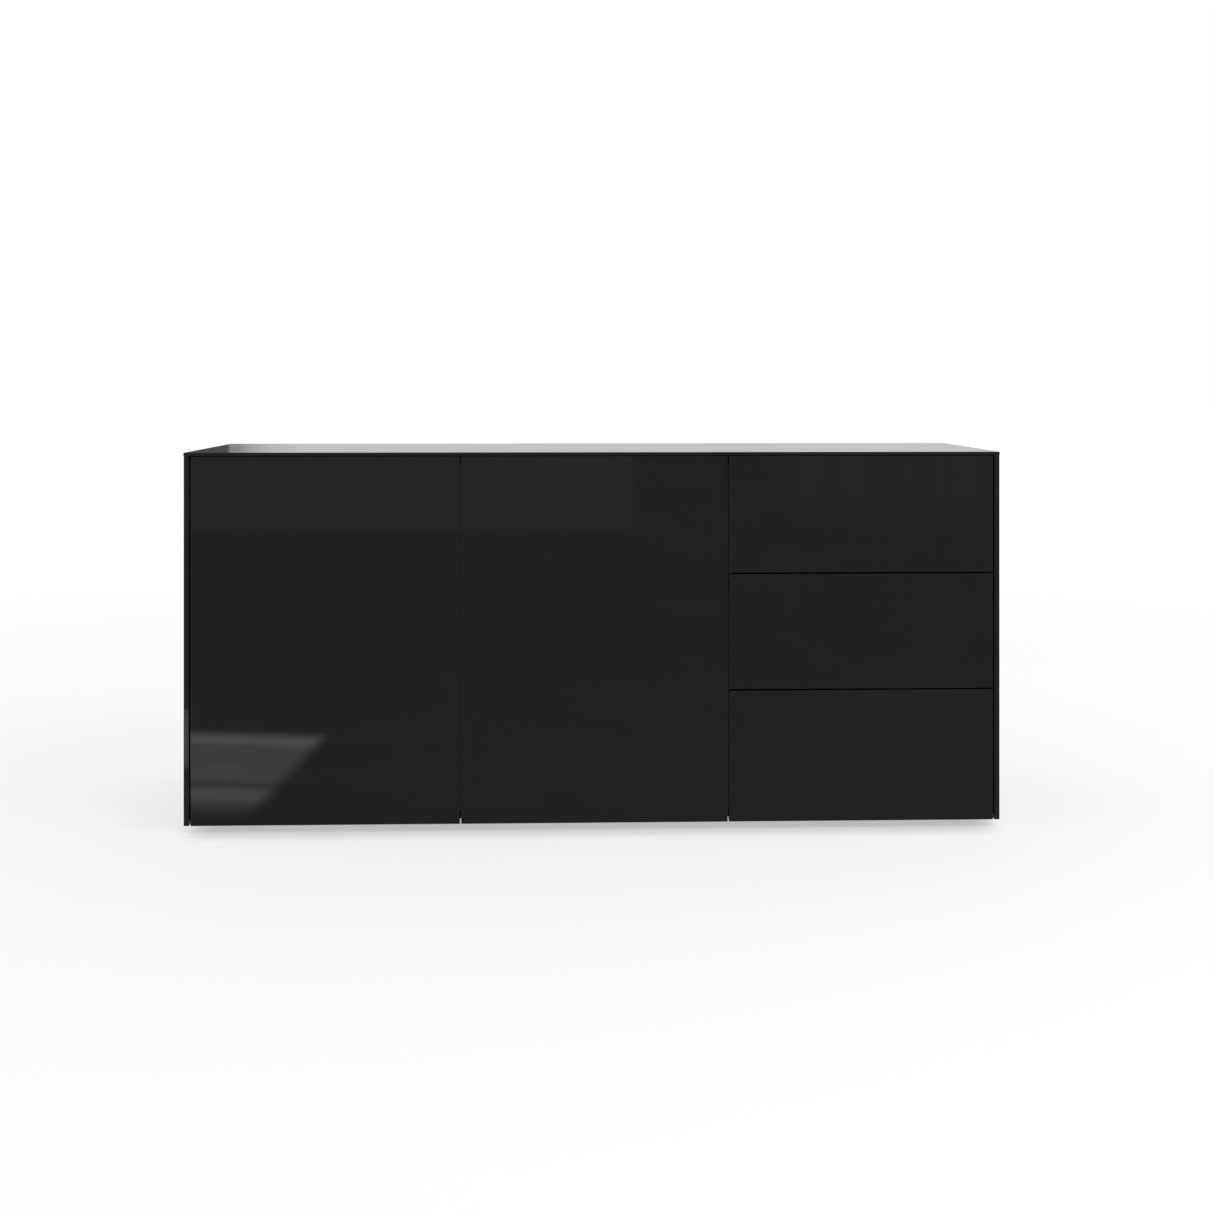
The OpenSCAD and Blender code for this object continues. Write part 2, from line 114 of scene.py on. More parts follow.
def ramp(tree, factor, stops):
    """A colour ramp's output. stops are (position, colour)."""
    made = add(tree, "ValToRGB", {"Fac": factor})
    elements = made.color_ramp.elements
    while len(elements) < len(stops):
        elements.new(0.5)
    for element, (position, colour) in zip(elements, stops):
        element.position = position
        element.color = (*colour, 1)
    return made.outputs["Color"]


def noise(tree, scale, stretch=(1, 1, 1), detail=2.0, roughness=0.5, distortion=0.0):
    """Noise in object space, scale in features per metre."""
    place = add(tree, "TexCoord").outputs["Object"]
    place = add(tree, "Mapping", {"Vector": place, "Scale": stretch}).outputs["Vector"]
    return add(tree, "TexNoise", {"Vector": place, "Scale": scale, "Detail": detail,
                                  "Roughness": roughness,
                                  "Distortion": distortion}).outputs["Fac"]


# ---- Finishes ----

def finish(name, inputs):
    """A new material with one Principled shader, and its node tree."""
    material = bpy.data.materials.new(name)
    material.use_nodes = True
    tree = material.node_tree
    tree.nodes.clear()
    shader = add(tree, "BsdfPrincipled", inputs)
    output = add(tree, "OutputMaterial")
    tree.links.new(shader.outputs["BSDF"], output.inputs["Surface"])
    return material, tree, shader


def mottle(tree, shader, colours, rough, scale, stretch=(1, 1, 1), detail=3.0):
    """Colour and roughness that vary with one noise."""
    field = noise(tree, scale, stretch, detail)
    stops = [(0.3, colours[0]), (0.7, colours[1])]
    tree.links.new(ramp(tree, field, stops), shader.inputs["Base Color"])
    roughness = between(tree, field, 0.3, 0.7, *rough)
    tree.links.new(roughness, shader.inputs["Roughness"])


def bumped(tree, shader, height, distance, strength=1.0):
    """A bump from height, distance in metres."""
    bump = add(tree, "Bump", {"Height": height, "Distance": distance, "Strength": strength})
    tree.links.new(bump.outputs["Normal"], shader.inputs["Normal"])


def facing(tree, axis, both_ways=True):
    """1 on faces that look along the piece's own axis, or either way along it."""
    normal = add(tree, "TexCoord").outputs["Normal"]
    along = add(tree, "SeparateXYZ", {"Vector": normal}).outputs[axis]
    if both_ways:
        along = calc(tree, "ABSOLUTE", along)
    return between(tree, along, 0.85, 0.9)


def gloss_lacquer():
    """Black polished lacquer with faint orange peel and wiping marks, and satin rear faces."""
    material, tree, shader = finish("gloss_lacquer", {"IOR": 1.5})
    field = noise(tree, 5, (1, 1, 2.5), detail=3.0)
    stops = [(0.3, (0.0108, 0.0107, 0.0118)), (0.7, (0.0116, 0.0115, 0.0126))]
    tree.links.new(ramp(tree, field, stops), shader.inputs["Base Color"])
    polish = between(tree, field, 0.3, 0.7, 0.014, 0.026)
    rear = facing(tree, "Y", both_ways=False)
    fine = noise(tree, 1400, detail=2.0)
    satin = calc(tree, "MULTIPLY", rear, between(tree, fine, 0.3, 0.7, 0.26, 0.36))
    tree.links.new(calc(tree, "ADD", polish, satin), shader.inputs["Roughness"])
    peel = noise(tree, 260, detail=1.0)
    bumped(tree, shader, peel, 0.0000015)
    return material


def black_glass():
    """Black float glass: mirror faces, ground edges with a hint of green."""
    material, tree, shader = finish("black_glass", {"IOR": 1.5})
    field = noise(tree, 6, detail=2.0)
    face = ramp(tree, field, [(0.3, (0.0075, 0.008, 0.0085)), (0.7, (0.009, 0.0095, 0.01))])
    edge = ramp(tree, noise(tree, 500, (1, 1, 0.05)),
                [(0.3, (0.0085, 0.0095, 0.0095)), (0.7, (0.0115, 0.0128, 0.0126))])
    top = facing(tree, "Z")
    mixed = add(tree, "MixRGB", {"Fac": top, "Color1": edge, "Color2": face})
    tree.links.new(mixed.outputs["Color"], shader.inputs["Base Color"])
    smear = between(tree, field, 0.35, 0.7, 0.012, 0.03)
    roughness = calc(tree, "ADD", smear, calc(tree, "MULTIPLY_ADD", top, -0.08, 0.08))
    tree.links.new(roughness, shader.inputs["Roughness"])
    bumped(tree, shader, noise(tree, 3, detail=0.0), 0.00002)
    return material


def melamine(name, colours, rough, band_axis, band, texture=(1, 1, 1)):
    """Coated board: a fine pearled face and a smoother edge band on the narrow edges."""
    material, tree, shader = finish(name, {"IOR": 1.48})
    field = noise(tree, 900, texture, detail=4.0, roughness=0.65)
    cloud = noise(tree, 9, detail=3.0)
    face = ramp(tree, calc(tree, "MULTIPLY_ADD", cloud, 0.5, calc(tree, "MULTIPLY", field, 0.5)),
                [(0.35, colours[0]), (0.65, colours[1])])
    mask = facing(tree, band_axis)
    edge = ramp(tree, noise(tree, 120), [(0.3, band[0]), (0.7, band[1])])
    mixed = add(tree, "MixRGB", {"Fac": mask, "Color1": face, "Color2": edge})
    tree.links.new(mixed.outputs["Color"], shader.inputs["Base Color"])
    flat = between(tree, field, 0.3, 0.7, *rough)
    roughness = calc(tree, "SUBTRACT", flat, calc(tree, "MULTIPLY", mask, 0.12))
    tree.links.new(roughness, shader.inputs["Roughness"])
    bumped(tree, shader, field, 0.00004, 0.6)
    return material


def back_board():
    """Matt black fibreboard with short pressed fibres."""
    material, tree, shader = finish("back_board", {"IOR": 1.46})
    fibres = noise(tree, 260, (1, 1, 3.5), detail=6.0, roughness=0.7, distortion=1.5)
    stops = [(0.3, (0.022, 0.022, 0.024)), (0.7, (0.042, 0.042, 0.044))]
    tree.links.new(ramp(tree, fibres, stops), shader.inputs["Base Color"])
    tree.links.new(between(tree, fibres, 0.3, 0.7, 0.48, 0.66), shader.inputs["Roughness"])
    bumped(tree, shader, fibres, 0.00008, 0.7)
    return material


def metal(name, colours, rough, stretch, scale=450, depth=0.000015):
    """Plated or drawn metal with fine marks along one direction."""
    material, tree, shader = finish(name, {"Metallic": 0.88})
    marks = noise(tree, scale, stretch, detail=5.0, roughness=0.6)
    cloud = noise(tree, 60, detail=3.0)
    both = calc(tree, "MULTIPLY_ADD", marks, 0.6, calc(tree, "MULTIPLY", cloud, 0.4))
    stops = [(0.35, colours[0]), (0.65, colours[1])]
    tree.links.new(ramp(tree, both, stops), shader.inputs["Base Color"])
    tree.links.new(between(tree, both, 0.35, 0.65, *rough), shader.inputs["Roughness"])
    bumped(tree, shader, marks, depth, 0.8)
    return material


def plastic(name, colours, rough, scale=1800, depth=0.00002):
    """Moulded plastic with a spark-eroded texture."""
    material, tree, shader = finish(name, {"IOR": 1.5})
    texture = noise(tree, scale, detail=3.0)
    stops = [(0.3, colours[0]), (0.7, colours[1])]
    tree.links.new(ramp(tree, noise(tree, 130, detail=2.0), stops), shader.inputs["Base Color"])
    tree.links.new(between(tree, texture, 0.3, 0.7, *rough), shader.inputs["Roughness"])
    bumped(tree, shader, texture, depth, 0.7)
    return material


def clear_pad():
    """Clear silicone with a little haze."""
    material, tree, shader = finish("clear_pad", {"IOR": 1.41, "Transmission Weight": 0.7})
    mottle(tree, shader, [(0.5, 0.52, 0.53), (0.62, 0.64, 0.65)], (0.18, 0.3), 700)
    return material


def beech():
    """Straight-grained beech, grain along the dowels."""
    material, tree, shader = finish("beech", {"IOR": 1.46})
    grain = noise(tree, 420, (0.12, 1, 1), detail=5.0, roughness=0.65)
    stops = [(0.3, (0.5, 0.33, 0.18)), (0.7, (0.72, 0.52, 0.32))]
    tree.links.new(ramp(tree, grain, stops), shader.inputs["Base Color"])
    tree.links.new(between(tree, grain, 0.3, 0.7, 0.5, 0.62), shader.inputs["Roughness"])
    bumped(tree, shader, grain, 0.00006, 0.8)
    return material


BLACK_BOARD = [(0.032, 0.032, 0.034), (0.048, 0.048, 0.05)]
BLACK_BAND = [(0.022, 0.022, 0.023), (0.028, 0.028, 0.03)]
# Grey front edges of the partitions: painted light for the gaps between the fronts
PAINTED_GAP_LIGHT_BAND = [(0.17, 0.17, 0.172), (0.21, 0.21, 0.212)]
BOARD_ROUGH = (0.42, 0.56)
DRAWER_GREY = [(0.16, 0.16, 0.165), (0.235, 0.235, 0.24)]
DRAWER_BAND = [(0.17, 0.17, 0.175), (0.2, 0.2, 0.205)]


def all_finishes():
    """The material of each of the record's slots, and of the partitions."""
    return {
        "black_glass": black_glass(),
        "clear_pad": clear_pad(),
        "gloss_lacquer": gloss_lacquer(),
        "carcass_board": melamine("carcass_board", BLACK_BOARD, BOARD_ROUGH, "Y", BLACK_BAND),
        "partition_board": melamine("partition_board", BLACK_BOARD, BOARD_ROUGH, "Y", PAINTED_GAP_LIGHT_BAND),
        "back_board": back_board(),
        "nickel": metal("nickel", [(0.6, 0.585, 0.55), (0.68, 0.665, 0.63)], (0.27, 0.36),
                        (1, 0.08, 1)),
        "beech": beech(),
        "zinc_screw": metal("zinc_screw", [(0.52, 0.54, 0.57), (0.68, 0.7, 0.73)], (0.18, 0.32),
                            (1, 1, 1), 900),
        "pin_steel": metal("pin_steel", [(0.44, 0.44, 0.46), (0.58, 0.58, 0.6)], (0.16, 0.28),
                           (1, 1, 0.05), 900),
        "grey_plastic": plastic("grey_plastic", [(0.105, 0.105, 0.11), (0.135, 0.135, 0.14)],
                                (0.4, 0.55)),
        "foot_plastic": plastic("foot_plastic", [(0.035, 0.035, 0.037), (0.06, 0.06, 0.062)],
                                (0.38, 0.55)),
        "plunger_plastic": plastic("plunger_plastic", [(0.4, 0.4, 0.4), (0.5, 0.5, 0.49)],
                                   (0.3, 0.42)),
        "runner_steel": metal("runner_steel", [(0.55, 0.56, 0.58), (0.64, 0.65, 0.67)],
                              (0.27, 0.38), (1, 0.012, 1), 1100),
        "drawer_board": melamine("drawer_board", DRAWER_GREY, (0.4, 0.54), "Z", DRAWER_BAND,
                                 (0.25, 0.25, 1)),
    }


# ---- CAD nodes ----

# Width of the rounded edge of each finish, in millimetres
EDGE_MM = {
    "black_glass": 0.35, "gloss_lacquer": 0.4, "carcass_board": 0.3, "back_board": 0.25,
    "drawer_board": 0.4, "nickel": 0.25, "runner_steel": 0.3, "grey_plastic": 0.25,
    "foot_plastic": 0.4, "plunger_plastic": 0.3, "pin_steel": 0.15, "clear_pad": 0.2,
}
EDGE_MM_OF = {"hinge_arms": 0.9, "hinge_plates": 0.7}
# Wire too thin and round for a bevel
NO_EDGE = ("latch_springs",)
# The partitions are the same board with grey front edges, painted light that lightens the gaps
# before them
FINISH_OF = {"left_partition": "partition_board", "right_partition": "partition_board"}
EDGE_ANGLE = math.radians(34)
MIRRORS = ("black_glass", "gloss_lacquer")
WELD_MM = 0.004


def soften(obj, width_mm, mirror):
    """Welds a CAD mesh's doubled corners and rounds its edges, all by modifiers.

    A mirror's flat faces keep exactly flat normals, so that narrow ones reflect truly.
    """
    weld = obj.modifiers.new("weld", "WELD")
    weld.merge_threshold = WELD_MM * MM
    bevel = obj.modifiers.new("edge", "BEVEL")
    bevel.width = width_mm * MM
    bevel.segments = 2
    bevel.limit_method = "ANGLE"
    bevel.angle_limit = EDGE_ANGLE
    bevel.use_clamp_overlap = True
    bevel.harden_normals = mirror
    if mirror:
        return
    normals = obj.modifiers.new("normals", "WEIGHTED_NORMAL")
    normals.keep_sharp = False
    normals.weight = 100


def dress_nodes(finishes):
    """Gives every CAD node its finish and its rounded edges."""
    for row in frame["record"]["subparts"]:
        obj = frame["nodes"][row["node"]]
        slot = row["material_slot"]
        material = finishes[FINISH_OF.get(row["node"], slot)]
        if obj.material_slots:
            for place in obj.material_slots:
                place.material = material
        else:
            obj.data.materials.append(material)
        if slot in EDGE_MM and row["node"] not in NO_EDGE:
            soften(obj, EDGE_MM_OF.get(row["node"], EDGE_MM[slot]), slot in MIRRORS)


# ---- Fittings ----

SIDES = 28
CROSS = [(1, 1), (1, 5), (-1, 5), (-1, 1), (-5, 1), (-5, -1),
         (-1, -1), (-1, -5), (1, -5), (1, -1), (5, -1), (5, 1)]
THREAD_PITCH = 1.6 * MM
THREAD_CREST = 2.0 * MM
THREAD_ROOT = 1.45 * MM
SHARP = math.radians(35)


def solids(node):
    """The corners of each separate solid of a CAD node, in the mesh's own order."""
    bm = bmesh.new()
    bm.from_mesh(frame["nodes"][node].data)
    bmesh.ops.remove_doubles(bm, verts=bm.verts, dist=0.001 * MM)
    bm.verts.ensure_lookup_table()
    seen = set()
    found = []
    for first in bm.verts:
        if first.index in seen:
            continue
        seen.add(first.index)
        stack = [first]
        group = []
        while stack:
            vert = stack.pop()
            group.append(vert.co.copy())
            for edge in vert.link_edges:
                other = edge.other_vert(vert)
                if other.index not in seen:
                    seen.add(other.index)
                    stack.append(other)
        found.append(group)
    bm.free()
    return found


def extent(points):
    """The lowest and highest corners of some points."""
    low = Vector([min(p[axis] for p in points) for axis in range(3)])
    high = Vector([max(p[axis] for p in points) for axis in range(3)])
    return low, high


def turned(profile):
    """A closed solid of revolution about X. The profile's first and last points are on X."""
    bm = bmesh.new()
    rings = []
    for x, radius in profile:
        if radius == 0:
            rings.append([bm.verts.new((x, 0, 0))])
            continue
        angles = [2 * math.pi * k / SIDES for k in range(SIDES)]
        rings.append([bm.verts.new((x, radius * math.cos(a), radius * math.sin(a)))
                      for a in angles])
    for near, far in zip(rings, rings[1:]):
        for k in range(SIDES):
            corners = [near[k % len(near)], near[(k + 1) % len(near)],
                       far[(k + 1) % len(far)], far[k % len(far)]]
            bm.faces.new(list(dict.fromkeys(corners)))
    bmesh.ops.recalc_face_normals(bm, faces=bm.faces)
    return bm


def cross_cutter(reach, depth):
    """A tapered cross about X, from a little outside x = 0 inwards."""
    bm = bmesh.new()
    unit = reach / 5
    levels = [(0.2 * MM, 1.0), (-depth, 0.62)]
    rings = [[bm.verts.new((x, y * unit * scale, z * unit * scale)) for y, z in CROSS]
             for x, scale in levels]
    bm.faces.new(rings[0])
    bm.faces.new(rings[1][::-1])
    for k in range(len(CROSS)):
        after = (k + 1) % len(CROSS)
        bm.faces.new([rings[0][k], rings[1][k], rings[1][after], rings[0][after]])
    bmesh.ops.recalc_face_normals(bm, faces=bm.faces)
    return bm


def as_object(bm, name):
    """A new object from a bmesh, which is freed."""
    mesh = bpy.data.meshes.new(name)
    bm.to_mesh(mesh)
    bm.free()
    obj = bpy.data.objects.new(name, mesh)
    scene.collection.objects.link(obj)
    return obj


def cut(solid, cutter):
    """solid minus cutter, both bmeshes, as a mesh."""
    body = as_object(solid, "cut_body")
    tool = as_object(cutter, "cut_tool")
    change = body.modifiers.new("cut", "BOOLEAN")
    change.operation = "DIFFERENCE"
    change.solver = "EXACT"
    change.object = tool
    graph = bpy.context.evaluated_depsgraph_get()
    made = bpy.data.meshes.new_from_object(body.evaluated_get(graph))
    bpy.data.objects.remove(body)
    bpy.data.objects.remove(tool)
    return made


def screw_mesh(head_r, head_t, length):
    """A pan-head screw along X with a cross recess. Its head's top is at x = 0."""
    profile = [(0, 0), (0, 0.7 * head_r), (-0.1 * head_t, 0.85 * head_r),
               (-0.35 * head_t, 0.96 * head_r), (-0.65 * head_t, head_r), (-head_t, head_r)]
    if length > 2 * head_t:
        profile.append((-head_t, THREAD_ROOT))
        x = -head_t - 0.5 * THREAD_PITCH
        while x > -length + 2.5 * THREAD_ROOT:
            profile += [(x, THREAD_ROOT), (x - 0.35 * THREAD_PITCH, THREAD_CREST),
                        (x - 0.5 * THREAD_PITCH, THREAD_CREST)]
            x -= THREAD_PITCH
        profile.append((x, THREAD_ROOT))
        profile.append((-length, 0))
    else:
        profile.append((-head_t, 0))
    return cut(turned(profile), cross_cutter(0.62 * head_r, 0.8 * head_t))


def finish_piece(bm, name, body, slot, finishes, nodes=()):
    """Links a bmesh as a smooth-shaded piece that rides on a body and stands for CAD nodes."""
    for face in bm.faces:
        face.smooth = True
    for edge in bm.edges:
        edge.smooth = len(edge.link_faces) == 2 and edge.calc_face_angle(0) < SHARP
    obj = as_object(bm, name)
    obj.data.materials.append(finishes[slot])
    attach(obj, body)
    if nodes:
        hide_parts(*nodes)


SCREW_HEAD_R = 3.6 * MM
SCREW_HEAD_T = 1.2 * MM
TURN_STEP = 37


def screw_places(node):
    """Each screw of a node: its head's top, the way its head looks along X, and its length."""
    places = []
    for points in solids(node):
        low, high = extent(points)
        middle = (low + high) / 2
        length = high.x - low.x
        if length > 2 * SCREW_HEAD_T:
            rim = [p.x for p in points
                   if math.hypot(p.y - middle.y, p.z - middle.z) > 0.9 * SCREW_HEAD_R]
            way = 1 if sum(rim) / len(rim) > middle.x else -1
        else:
            way = 1 if middle.x < 0 else -1
        top = Vector((high.x if way > 0 else low.x, middle.y, middle.z))
        places.append((top, way, length))
    return places


def add_screws(node, finishes):
    """Stands threaded screws with cross recesses for a CAD node's plain ones."""
    joined = bmesh.new()
    masters = {}
    for count, (top, way, length) in enumerate(screw_places(node)):
        key = round(length / MM, 2)
        if key not in masters:
            masters[key] = screw_mesh(SCREW_HEAD_R, SCREW_HEAD_T, length)
        copy = masters[key].copy()
        turn = Matrix.Rotation(math.radians(count * TURN_STEP % 90), 4, "X")
        facing_way = Matrix.Rotation(0 if way > 0 else math.pi, 4, "Z")
        copy.transform(Matrix.Translation(top) @ facing_way @ turn)
        joined.from_mesh(copy)
    finish_piece(joined, node + "_threaded", "cabinet", "zinc_screw", finishes, [node])


EAR_R = 8 * MM
EAR_SCREW_R = 3.2 * MM
EAR_SCREW_T = 0.6 * MM
UPPER_HINGE_Z = 0.4


def add_cup_screws(node, body, finishes):
    """The two small screws in each hinge cup's ears, on the door's inner face."""
    joined = bmesh.new()
    master = screw_mesh(EAR_SCREW_R, EAR_SCREW_T, EAR_SCREW_T)
    for count, points in enumerate(solids(node)):
        low, high = extent(points)
        for z in (low.z + EAR_R, high.z - EAR_R):
            copy = master.copy()
            place = Matrix.Translation(((low.x + high.x) / 2, high.y + EAR_SCREW_T, z))
            step = count * 2 + (z > UPPER_HINGE_Z)
            turn = Matrix.Rotation(math.radians(step * TURN_STEP % 90), 4, "Y")
            copy.transform(place @ turn @ Matrix.Rotation(math.pi / 2, 4, "Z"))
            joined.from_mesh(copy)
    finish_piece(joined, node.replace("cups", "cup_screws"), body, "zinc_screw", finishes)


def add_fittings(finishes):
    """Every detail piece."""
    for node in ("hinge_screws", "rail_screws", "cheek_screws"):
        add_screws(node, finishes)
    for side in ("left", "centre"):
        add_cup_screws(side + "_hinge_cups", side + "_door", finishes)


# ---- Studio ----

# Directions as slopes, for what the fronts mirror: across = x / |y| and rise = z / |y|.
# A pair such as (-0.072, -0.066) is where a shape's light starts and where it is full.

# The dark studio, a little lighter lower down, and the pale floor close in front
FRONT_DARK = 0.1
FRONT_LOW = 0.13
FRONT_LOWERS = (-0.14, -0.24)
FLOOR_MIRRORED = 0.4
FLOOR_POOL = (-0.3, -0.75)

# The window
WINDOW_LIGHT = 0.9
WINDOW_TINT = (1.0, 0.965, 0.87)
# Its upper edge is rise = a * across + b, and its right edge is across = a * rise + b
WINDOW_TOP = (-0.036, -0.21385)
WINDOW_TOP_SOFT = 0.0028
WINDOW_RIGHT = (0.95, 0.06336)
WINDOW_RIGHT_SOFT = 0.0065
# Its light by slope below its upper edge, and the clouds that it is multiplied by
WINDOW_DEPTH = 0.055
WINDOW_BANDS = [(0.0, 0.6), (0.0048, 0.9), (0.0076, 0.5), (0.017, 0.45), (0.022, 0.52),
                (0.0265, 0.5), (0.0308, 0.3), (0.0345, 0.68), (0.0384, 0.66), (0.0408, 0.42),
                (0.0432, 0.28), (0.0465, 0.1), (0.051, 0.0)]
WINDOW_CLOUDS = (1.5, 2.1)
WINDOW_CLOUD_SCALE = (22, 170, 1)

# The same window on the left cheek's edge, which ends at this slope across
CHEEK_SLOPE = -0.2139
CHEEK_SOFT = 0.0003
CHEEK_WINDOW_LEFT = (-0.224, -0.22)
CHEEK_WINDOW_TOP = (-0.1915, -0.1945)
CHEEK_WINDOW_FOOT = (-0.2305, -0.2215)

# The sheen and the streaks
SHEEN_LIGHT = 0.062
SHEEN_RIGHT = (0.048, 0.0472)
SHEEN_FOOT = (-0.0905, -0.0875)
STREAKS_SCALE = 75.0
STREAKS_LEFT = (0.1475, 0.149)
STREAKS_FOOT = (-0.072, -0.066)

# The backdrop and the brown wall's end
BACKDROP_LIGHT = 0.685
# The backdrop's share of its full light by angle from +Y, in degrees, where it ends on the left
WALL_END_FALL = [(-12.6, 0.13), (-10.86, 0.145), (-10.74, 0.43), (-10.5, 0.45), (-10.1, 0.67),
                 (-9.4, 0.86), (-8.2, 0.985), (-7.0, 1.0)]
WALL_END_BACK = (-14.5, -27.0)
WALL_END_TINT = (1.0, 0.85, 0.76)
WALL_END_BROWN = (-10.72, -10.8)
WALL_END_BROWN_LEFT = (-16.0, -12.8)

# The softbox above and in front, by height in radians
CEILING_LIGHT = 0.3
SOFTBOX_LIGHT = 0.6
SOFTBOX_LOW = (0.35, 0.5)
SOFTBOX_HIGH = (1.15, 0.9)

# The glow along the floor at the sides and back, by z of the direction, low and high
GLOW_SPAN = (-0.55, -0.02)
SIDE_GLOW = (0.03, 0.3)

# Where the parts of the mirrored studio meet, by y or z of the direction
FRONT_TO_BACK = (-0.12, 0.12)
FRONT_TO_SIDES = (-0.75, -0.35)
HORIZON = (-0.008, 0.004)

# The soft dome that matt surfaces see
DOME_LIGHT = 0.87


def times(tree, *values):
    """The product of some values."""
    product = values[0]
    for value in values[1:]:
        product = calc(tree, "MULTIPLY", product, value)
    return product


def line(tree, value, slope, start):
    """slope * value + start."""
    return calc(tree, "MULTIPLY_ADD", value, slope, start)


def window_light(tree, across, rise):
    """A window's light low on the left, cut off by slanting edges, and where it lies."""
    # On the fronts, from its upper edge down
    down = calc(tree, "SUBTRACT", line(tree, across, *WINDOW_TOP), rise)
    inward = calc(tree, "SUBTRACT", line(tree, rise, *WINDOW_RIGHT), across)
    inside = times(tree, between(tree, down, -WINDOW_TOP_SOFT, WINDOW_TOP_SOFT),
                   between(tree, inward, -WINDOW_RIGHT_SOFT, WINDOW_RIGHT_SOFT),
                   between(tree, across, CHEEK_SLOPE, CHEEK_SLOPE + CHEEK_SOFT))
    stops = [(fall / WINDOW_DEPTH, (level,) * 3) for fall, level in WINDOW_BANDS]
    bands = ramp(tree, calc(tree, "DIVIDE", down, WINDOW_DEPTH), stops)
    place = add(tree, "CombineXYZ", {"X": across, "Y": rise}).outputs["Vector"]
    place = add(tree, "Mapping", {"Vector": place, "Scale": WINDOW_CLOUD_SCALE}).outputs["Vector"]
    cloud = add(tree, "TexNoise", {"Vector": place, "Scale": 1.0, "Detail": 2.0}).outputs["Fac"]
    clouds = between(tree, cloud, 0.3, 0.7, *WINDOW_CLOUDS, False)
    on_fronts = times(tree, inside, times(tree, bands, clouds))

    # On the left cheek's edge, which shows it a little higher up
    on_cheek = times(tree, between(tree, rise, *CHEEK_WINDOW_TOP),
                     between(tree, rise, *CHEEK_WINDOW_FOOT),
                     between(tree, across, *CHEEK_WINDOW_LEFT),
                     between(tree, across, CHEEK_SLOPE, CHEEK_SLOPE - CHEEK_SOFT))
    light = times(tree, calc(tree, "ADD", on_fronts, on_cheek), WINDOW_LIGHT)
    return light, calc(tree, "MAXIMUM", inside, on_cheek)


def front_mirror(tree, x, y, z):
    """What is seen in front of the sideboard below the horizon: dark, with a few soft shapes."""
    ahead = calc(tree, "MAXIMUM", calc(tree, "MULTIPLY", y, -1.0), 0.001)
    across = calc(tree, "DIVIDE", x, ahead)
    rise = calc(tree, "DIVIDE", z, ahead)
    window, warm = window_light(tree, across, rise)

    # A faint sheen near the horizon, ending in a straight edge right of the centre
    sheen = times(tree, between(tree, across, *SHEEN_RIGHT), between(tree, rise, *SHEEN_FOOT))
    # Faint upright streaks on the right
    comb = add(tree, "CombineXYZ", {"X": across}).outputs["Vector"]
    comb = add(tree, "TexNoise", {"Vector": comb, "Scale": STREAKS_SCALE,
                                  "Detail": 1.0}).outputs["Fac"]
    streaks = times(tree, between(tree, comb, 0.4, 0.6), between(tree, across, *STREAKS_LEFT),
                    between(tree, rise, *STREAKS_FOOT))
    faint = times(tree, calc(tree, "MAXIMUM", sheen, streaks), SHEEN_LIGHT)
    # The pale floor close in front, seen from higher up
    pool = calc(tree, "ADD", between(tree, rise, *FRONT_LOWERS, FRONT_DARK, FRONT_LOW),
                between(tree, rise, *FLOOR_POOL, 0.0, FLOOR_MIRRORED))
    return calc(tree, "ADD", calc(tree, "ADD", window, faint), pool), warm


def back_mirror(tree, x, y):
    """The bright backdrop behind the sideboard, and the brown wall's end to its left."""
    turn = times(tree, calc(tree, "ARCTAN2", x, y), 180 / math.pi)
    first = WALL_END_FALL[0][0]
    last = WALL_END_FALL[-1][0]
    stops = [((angle - first) / (last - first), (level,) * 3) for angle, level in WALL_END_FALL]
    along = between(tree, turn, first, last, soft=False)
    from_left = ramp(tree, along, stops)
    far_left = between(tree, turn, *WALL_END_BACK)
    light = times(tree, calc(tree, "MAXIMUM", from_left, far_left), BACKDROP_LIGHT)
    brown = times(tree, between(tree, turn, *WALL_END_BROWN),
                  between(tree, turn, *WALL_END_BROWN_LEFT))
    return light, brown


def mirrored_studio(tree):
    """The brightness and the tint that gloss and metal see in each direction."""
    direction = add(tree, "TexCoord").outputs["Generated"]
    parts = add(tree, "SeparateXYZ", {"Vector": direction})
    x, y, z = (parts.outputs[axis] for axis in "XYZ")
    forward = between(tree, y, *FRONT_TO_BACK)
    up = between(tree, z, *HORIZON)

    # Above the horizon: the backdrop behind, and one broad softbox in front
    height = calc(tree, "ARCSINE", z)
    box = times(tree, between(tree, height, *SOFTBOX_LOW), between(tree, height, *SOFTBOX_HIGH))
    ceiling = line(tree, box, SOFTBOX_LIGHT, CEILING_LIGHT)
    back, brown = back_mirror(tree, x, y)
    above = add(tree, "Mix", {"Factor": forward, "A": ceiling, "B": back}).outputs["Result"]

    # Below it: the dark studio in front, and a soft glow along the floor at the sides and back
    front, warm = front_mirror(tree, x, y, z)
    glow = between(tree, z, *GLOW_SPAN, *SIDE_GLOW)
    sideways = between(tree, y, *FRONT_TO_SIDES)
    below = add(tree, "Mix", {"Factor": sideways, "A": front, "B": glow}).outputs["Result"]
    seen = add(tree, "Mix", {"Factor": up, "A": below, "B": above}).outputs["Result"]

    # Warm where the window is, brown where the wall's end is
    tint = add(tree, "MixRGB", {"Fac": warm, "Color1": (1, 1, 1, 1),
                                "Color2": (*WINDOW_TINT, 1)}).outputs["Color"]
    at_wall = times(tree, brown, forward, up)
    tint = add(tree, "MixRGB", {"Fac": at_wall, "Color1": tint, "Color2": (*WALL_END_TINT, 1)})
    return seen, tint.outputs["Color"]


